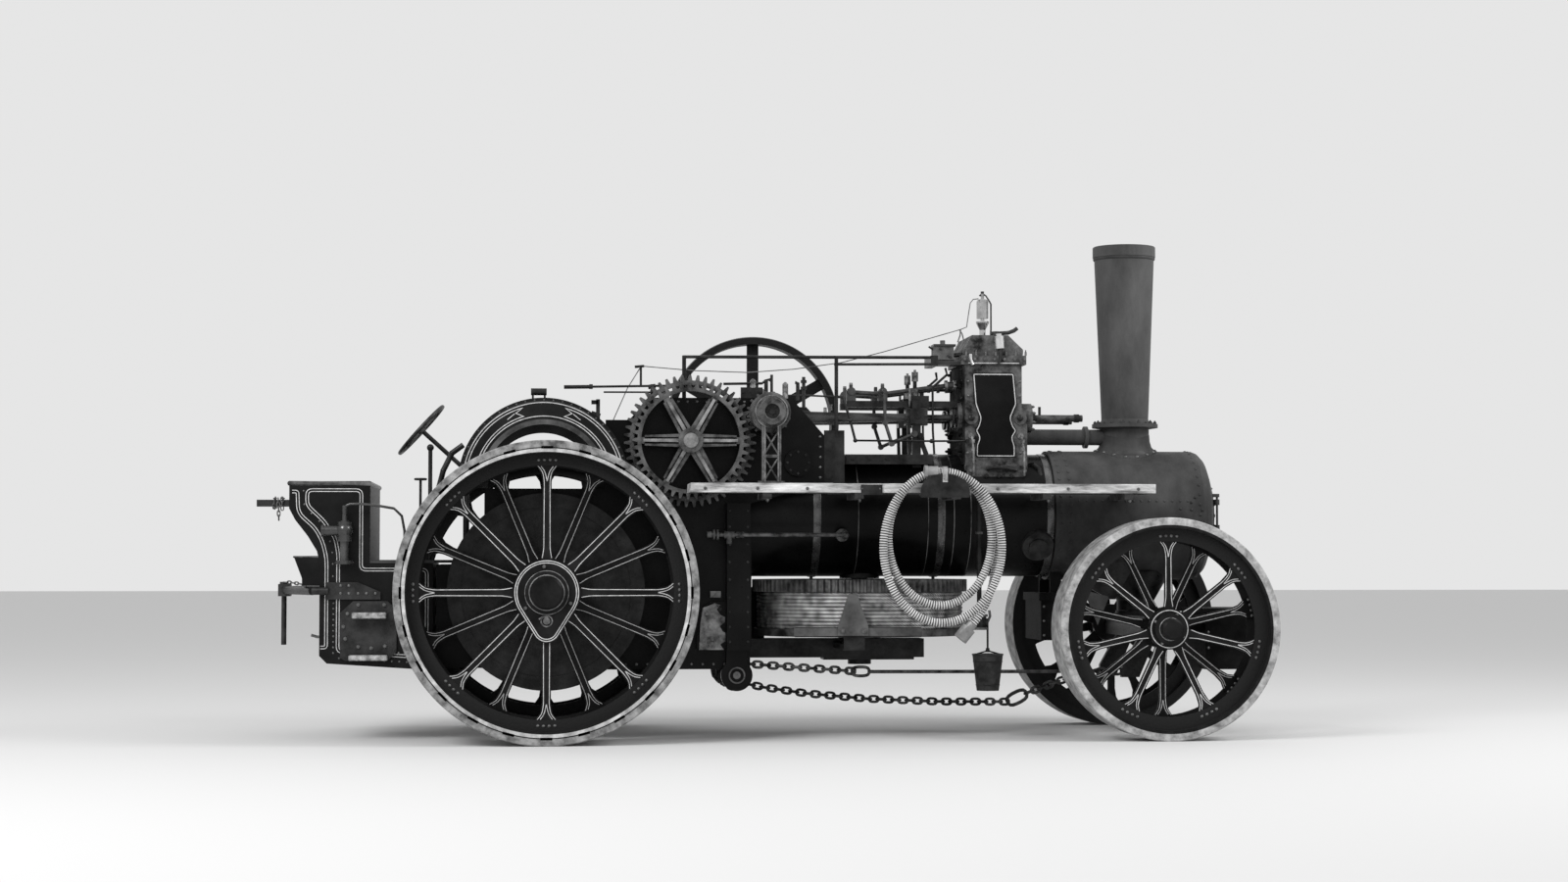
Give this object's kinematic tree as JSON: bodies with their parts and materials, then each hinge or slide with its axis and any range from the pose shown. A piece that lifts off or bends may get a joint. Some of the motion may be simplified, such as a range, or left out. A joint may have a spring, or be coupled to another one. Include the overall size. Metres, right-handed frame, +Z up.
{
  "type": "steam traction engine",
  "caption": "Steam ploughing engine: road locomotive on spoked iron wheels with a horizontal rope drum under the boiler, tall chimney and rear coal bunker.",
  "frame": {"origin": "on the ground, under the middle of the engine's box", "axes": "+X forward to the chimney, +Y to the engine's left, +Z up"},
  "size_m": [6.959, 2.6, 3.445],
  "materials": {
    "black_paint": "worn semi-gloss paint",
    "grey_paint": "weathered matt grey",
    "machined_steel": "oiled machined steel",
    "bright_brass": "polished",
    "bare_steel": "worn wire and links",
    "cast_iron": "oily casting",
    "worn_iron": "rubbed to bare metal on its edges",
    "lined_paint": "semi-gloss with pale lines",
    "platform_wood": "worn at the edge",
    "hose_canvas": "ribbed",
    "grey_metal": "matt"
  },
  "bodies": {
    "engine": {"boiler_barrel": "black_paint", "firebox": "black_paint", "ashpan": "black_paint", "smokebox": "grey_paint", "chimney": "grey_paint", "cylinder_block": "black_paint", "whistle": "bright_brass", "lubricator": "grey_metal", "slide_bars": "black_paint", "connecting_rods": "machined_steel", "exhaust_pipe": "grey_paint", "valve_gear": "black_paint", "hornplates": "black_paint", "crank_bearings": "black_paint", "shaft_strut": "black_paint", "upright_casing": "black_paint", "chain_barrel": "cast_iron", "steer_chains": "bare_steel", "drum_stud": "cast_iron", "drum_beam": "cast_iron", "hind_axle": "machined_steel", "perch_bracket": "black_paint", "under_box": "black_paint", "side_platforms": "platform_wood", "tender": "black_paint", "footplate": "black_paint", "wheel_guards": "black_paint", "rear_drawbars": "worn_iron", "water_lifter": "grey_metal", "side_steps": "worn_iron", "steering_column": "black_paint", "steering_wheel": "black_paint", "hand_rails": "black_paint", "reach_rods": "black_paint", "feed_pipe": "grey_metal", "lift_valve": "black_paint", "bucket": "black_paint", "hose_coil": "hose_canvas", "hose_tail": "hose_canvas", "hose_coupling": "grey_metal", "hose_strainer": "grey_metal"},
    "hind_near_wheel": {"hind_near_rim": "worn_iron", "hind_near_centre": "lined_paint", "final_gear": "cast_iron"},
    "hind_far_wheel": {"hind_far_rim": "worn_iron", "hind_far_centre": "lined_paint"},
    "front_carriage": {"front_axle": "black_paint", "front_box": "black_paint"},
    "front_near_wheel": {"front_near_rim": "worn_iron", "front_near_centre": "lined_paint"},
    "front_far_wheel": {"front_far_rim": "worn_iron", "front_far_centre": "lined_paint"},
    "crank": {"crankshaft": "machined_steel", "crank_pinion": "machined_steel", "flywheel": "black_paint"},
    "second_motion": {"second_shaft": "machined_steel", "road_gears": "machined_steel"},
    "rope_drum": {"winding_drum": "cast_iron", "drum_rope": "bare_steel"},
    "door": {"smokebox_door": "grey_paint"}
  },
  "joints": [
    {"name": "hind_near_spin", "type": "hinge", "parent": "engine", "child": "hind_near_wheel", "pos_m": [-1.4905, -0.94, 1], "axis": [0, 1, 0], "continuous": true},
    {"name": "hind_far_spin", "type": "hinge", "parent": "engine", "child": "hind_far_wheel", "pos_m": [-1.4905, 0.94, 1], "axis": [0, 1, 0], "continuous": true},
    {"name": "steer", "type": "hinge", "parent": "engine", "child": "front_carriage", "pos_m": [2.6845, 0, 0.9], "axis": [0, 0, 1], "range_deg": [-20, 20], "deforming": ["steer_chains"]},
    {"name": "front_near_spin", "type": "hinge", "parent": "front_carriage", "child": "front_near_wheel", "pos_m": [2.6845, -0.92, 0.75], "axis": [0, 1, 0], "continuous": true},
    {"name": "front_far_spin", "type": "hinge", "parent": "front_carriage", "child": "front_far_wheel", "pos_m": [2.6845, 0.92, 0.75], "axis": [0, 1, 0], "continuous": true},
    {"name": "crank_spin", "type": "hinge", "parent": "engine", "child": "crank", "pos_m": [0.0195, 0, 2.215], "axis": [0, 1, 0], "continuous": true},
    {"name": "second_spin", "type": "hinge", "parent": "engine", "child": "second_motion", "pos_m": [-0.51733, 0, 2.0249], "axis": [0, 1, 0], "continuous": true},
    {"name": "drum_spin", "type": "hinge", "parent": "engine", "child": "rope_drum", "pos_m": [0.7095, 0, 0.9], "axis": [0, 0, 1], "continuous": true},
    {"name": "door_swing", "type": "hinge", "parent": "engine", "child": "door", "pos_m": [3.2095, -0.282, 1.53], "axis": [0, 0, -1], "range_deg": [0, 110]}
  ],
  "couplings": [
    {"joint": "second_spin", "follows": "crank_spin", "ratio": -0.31373}
  ]
}
